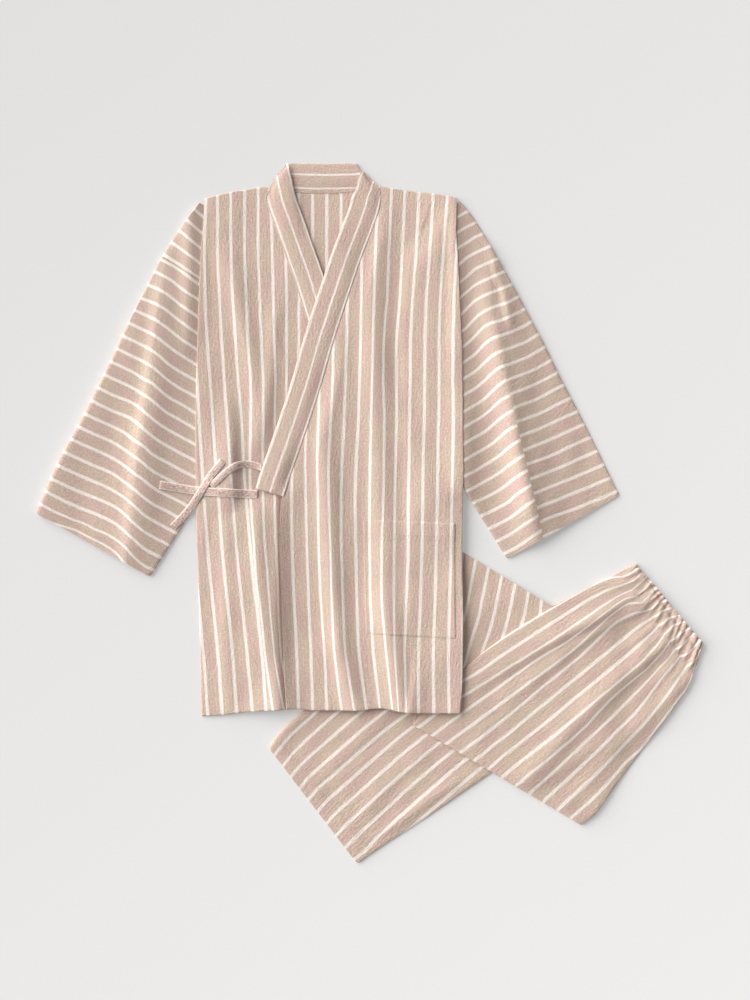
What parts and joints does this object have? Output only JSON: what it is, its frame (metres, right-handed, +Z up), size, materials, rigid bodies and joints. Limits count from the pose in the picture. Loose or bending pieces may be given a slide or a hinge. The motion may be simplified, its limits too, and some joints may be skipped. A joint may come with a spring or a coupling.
{
  "type": "jinbei set",
  "caption": "Striped cotton jinbei set laid flat: tied wrap jacket with wide sleeves, band collar and patch pocket, lying over folded half trousers with a gathered waist.",
  "frame": {"origin": "middle of the set's plan, on the surface that it lies on", "axes": "+X towards the wearer's left sleeve, +Y towards the collar, +Z up from the surface"},
  "size_m": [0.9715, 1.02, 0.0153],
  "materials": {
    "striped_cotton": "matte, pinkish beige with narrow cream stripes",
    "collar_cotton": "matte, the same striped cloth, doubled",
    "tie_cotton": "matte, plain"
  },
  "bodies": {
    "root": {"back_body": "striped_cotton", "front_right": "striped_cotton", "front_left": "striped_cotton", "pocket": "striped_cotton", "collar_back": "collar_cotton", "collar_right": "collar_cotton", "collar_left": "collar_cotton", "shoulder_right": "striped_cotton", "shoulder_left": "striped_cotton", "sleeve_right": "striped_cotton", "sleeve_left": "striped_cotton", "tie_cross": "tie_cotton", "tie_over": "tie_cotton", "tie_front": "tie_cotton", "leg_upper": "striped_cotton", "leg_lower": "striped_cotton", "waistband": "striped_cotton"}
  },
  "joints": []
}
